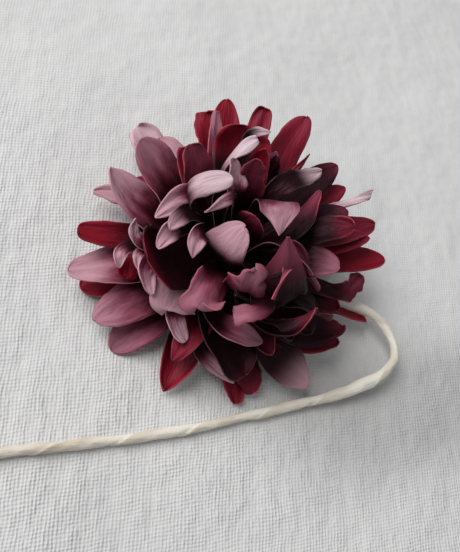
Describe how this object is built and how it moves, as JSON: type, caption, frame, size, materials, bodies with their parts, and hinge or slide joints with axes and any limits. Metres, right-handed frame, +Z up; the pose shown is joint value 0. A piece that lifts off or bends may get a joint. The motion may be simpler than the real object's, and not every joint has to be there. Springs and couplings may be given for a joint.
{
  "type": "corsage",
  "caption": "Handmade cloth flower corsage: a domed bloom of layered burgundy petals on a bendable wire stem bound in ivory tape, curled back beneath it.",
  "frame": {"origin": "middle of the underside of the whole corsage's box, on the surface it lies on", "axes": "+X along the longest extent, from the stem's cut end towards the crook of the stem; +Y across the bloom, away from the returning stem; +Z up out of the bloom's face"},
  "size_m": [0.1376, 0.1064, 0.0419],
  "materials": {
    "petal_cloth": "matte cut cloth, burgundy fading to mauve pink at the petal tips",
    "stem_tape": "matte ivory floral tape wound in a long spiral",
    "wire_steel": "plain drawn wire"
  },
  "bodies": {
    "root": {"petal_round_01": "petal_cloth", "petal_round_02": "petal_cloth", "petal_round_03": "petal_cloth", "petal_round_04": "petal_cloth", "petal_round_05": "petal_cloth", "petal_round_06": "petal_cloth", "petal_round_07": "petal_cloth", "petal_round_08": "petal_cloth", "petal_round_09": "petal_cloth", "petal_round_10": "petal_cloth", "petal_round_11": "petal_cloth", "petal_round_12": "petal_cloth", "calyx_binding": "stem_tape", "stem_wrap": "stem_tape", "stem_wire": "wire_steel"}
  },
  "joints": []
}
